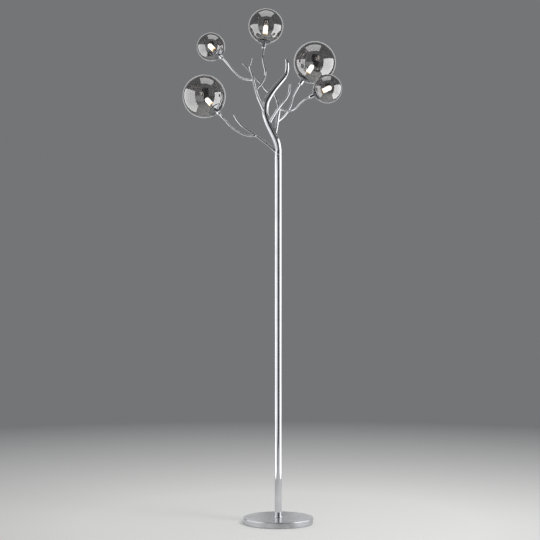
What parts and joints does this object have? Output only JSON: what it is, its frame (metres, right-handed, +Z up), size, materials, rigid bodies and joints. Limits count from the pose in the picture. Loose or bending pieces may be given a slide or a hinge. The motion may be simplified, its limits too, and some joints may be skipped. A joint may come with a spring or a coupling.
{
  "type": "floor lamp",
  "caption": "Tree floor lamp: round weighted foot, straight chromed stem, bent trunk with bare branches and thin arms that carry smoke glass globes with pin bulbs.",
  "frame": {"origin": "middle of the foot's underside, on the stem's axis", "axes": "+Z up along the stem, +X to the right and -Y towards the viewer when the lamp is seen from its front; the mains lead enters at +Y"},
  "size_m": [0.554, 0.2975, 1.801],
  "materials": {
    "polished_chrome": "mirror polished and chromed",
    "cast_iron": "as cast, black dipped",
    "pad_rubber": "foamed, matt",
    "gland_plastic": "moulded",
    "zinc_steel": "zinc plated",
    "turned_aluminium": "turned",
    "block_plastic": "moulded",
    "lead_sheath": "extruded",
    "wire_sheath": "extruded",
    "holder_ceramic": "pressed and fired",
    "contact_brass": "rolled",
    "bulb_base": "moulded",
    "bulb_glass": "frosted, lit",
    "silicone": "moulded, clear",
    "smoke_glass": "blown, smoke tinted with a thin mirror coat"
  },
  "bodies": {
    "stand": {"arm_ferrules": "polished_chrome", "arm_left_large": "polished_chrome", "arm_left_small": "polished_chrome", "arm_right_large": "polished_chrome", "arm_right_small": "polished_chrome", "arm_top": "polished_chrome", "arm_wires": "wire_sheath", "base_cover": "polished_chrome", "base_nut": "zinc_steel", "base_pad": "pad_rubber", "base_stud": "zinc_steel", "base_washer": "zinc_steel", "base_weight": "cast_iron", "branch_back": "polished_chrome", "branch_front": "polished_chrome", "branch_left": "polished_chrome", "branch_low_left": "polished_chrome", "cord_gland": "gland_plastic", "cup_left_large": "polished_chrome", "cup_left_small": "polished_chrome", "cup_right_large": "polished_chrome", "cup_right_small": "polished_chrome", "cup_top": "polished_chrome", "foot_collar": "polished_chrome", "holder_contacts": "contact_brass", "holder_left_large": "holder_ceramic", "holder_left_small": "holder_ceramic", "holder_nipples": "zinc_steel", "holder_right_large": "holder_ceramic", "holder_right_small": "holder_ceramic", "holder_top": "holder_ceramic", "stem_couplers": "zinc_steel", "stem_foot_plug": "zinc_steel", "stem_lead": "lead_sheath", "stem_lower": "polished_chrome", "stem_middle": "polished_chrome", "stem_upper": "polished_chrome", "terminal_block": "block_plastic", "thread_rings": "turned_aluminium", "trunk": "polished_chrome"},
    "bulb_left_large": {"bulb_base_left_large": "bulb_base", "bulb_glass_left_large": "bulb_glass"},
    "gasket_left_large": {"gasket_left_large": "silicone"},
    "globe_left_large": {"globe_left_large": "smoke_glass"},
    "bulb_left_small": {"bulb_base_left_small": "bulb_base", "bulb_glass_left_small": "bulb_glass"},
    "gasket_left_small": {"gasket_left_small": "silicone"},
    "globe_left_small": {"globe_left_small": "smoke_glass"},
    "bulb_top": {"bulb_base_top": "bulb_base", "bulb_glass_top": "bulb_glass"},
    "gasket_top": {"gasket_top": "silicone"},
    "globe_top": {"globe_top": "smoke_glass"},
    "bulb_right_large": {"bulb_base_right_large": "bulb_base", "bulb_glass_right_large": "bulb_glass"},
    "gasket_right_large": {"gasket_right_large": "silicone"},
    "globe_right_large": {"globe_right_large": "smoke_glass"},
    "bulb_right_small": {"bulb_base_right_small": "bulb_base", "bulb_glass_right_small": "bulb_glass"},
    "gasket_right_small": {"gasket_right_small": "silicone"},
    "globe_right_small": {"globe_right_small": "smoke_glass"}
  },
  "joints": [
    {"name": "bulb_left_large_pull", "type": "slide", "parent": "stand", "child": "bulb_left_large", "axis": [-0.5826, 0.4226, 0.6943], "range_m": [0, 0.012]},
    {"name": "gasket_left_large_lift", "type": "slide", "parent": "stand", "child": "gasket_left_large", "axis": [-0.5826, 0.4226, 0.6943], "range_m": [0, 0.0046]},
    {"name": "globe_left_large_turn", "type": "hinge", "parent": "gasket_left_large", "child": "globe_left_large", "pos_m": [-0.21256, -0.05296, 1.43585], "axis": [-0.5826, 0.4226, 0.6943], "range_deg": [0, 540]},
    {"name": "bulb_left_small_pull", "type": "slide", "parent": "stand", "child": "bulb_left_small", "axis": [-0.6077, 0.454, 0.6516], "range_m": [0, 0.012]},
    {"name": "gasket_left_small_lift", "type": "slide", "parent": "stand", "child": "gasket_left_small", "axis": [-0.6077, 0.454, 0.6516], "range_m": [0, 0.0046]},
    {"name": "globe_left_small_turn", "type": "hinge", "parent": "gasket_left_small", "child": "globe_left_small", "pos_m": [-0.20579, 0.04394, 1.64146], "axis": [-0.6077, 0.454, 0.6516], "range_deg": [0, 540]},
    {"name": "bulb_top_pull", "type": "slide", "parent": "stand", "child": "bulb_top", "axis": [0.1029, 0.1736, 0.9794], "range_m": [0, 0.012]},
    {"name": "gasket_top_lift", "type": "slide", "parent": "stand", "child": "gasket_top", "axis": [0.1029, 0.1736, 0.9794], "range_m": [0, 0.0046]},
    {"name": "globe_top_turn", "type": "hinge", "parent": "gasket_top", "child": "globe_top", "pos_m": [-0.04959, -0.00111, 1.67732], "axis": [0.1029, 0.1736, 0.9794], "range_deg": [0, 540]},
    {"name": "bulb_right_large_pull", "type": "slide", "parent": "stand", "child": "bulb_right_large", "axis": [0.5584, 0.0523, 0.8279], "range_m": [0, 0.012]},
    {"name": "gasket_right_large_lift", "type": "slide", "parent": "stand", "child": "gasket_right_large", "axis": [0.5584, 0.0523, 0.8279], "range_m": [0, 0.0046]},
    {"name": "globe_right_large_turn", "type": "hinge", "parent": "gasket_right_large", "child": "globe_right_large", "pos_m": [0.08744, 0.09592, 1.56042], "axis": [0.5584, 0.0523, 0.8279], "range_deg": [0, 540]},
    {"name": "bulb_right_small_pull", "type": "slide", "parent": "stand", "child": "bulb_right_small", "axis": [0.9063, 0, 0.4226], "range_m": [0, 0.012]},
    {"name": "gasket_right_small_lift", "type": "slide", "parent": "stand", "child": "gasket_right_small", "axis": [0.9063, 0, 0.4226], "range_m": [0, 0.0046]},
    {"name": "globe_right_small_turn", "type": "hinge", "parent": "gasket_right_small", "child": "globe_right_small", "pos_m": [0.12297, -0.05, 1.4906], "axis": [0.9063, 0, 0.4226], "range_deg": [0, 540]}
  ],
  "couplings": [
    {"joint": "gasket_left_large_lift", "follows": "globe_left_large_turn", "m_per_rad": 0.00047746},
    {"joint": "gasket_left_small_lift", "follows": "globe_left_small_turn", "m_per_rad": 0.00047746},
    {"joint": "gasket_top_lift", "follows": "globe_top_turn", "m_per_rad": 0.00047746},
    {"joint": "gasket_right_large_lift", "follows": "globe_right_large_turn", "m_per_rad": 0.00047746},
    {"joint": "gasket_right_small_lift", "follows": "globe_right_small_turn", "m_per_rad": 0.00047746}
  ]
}
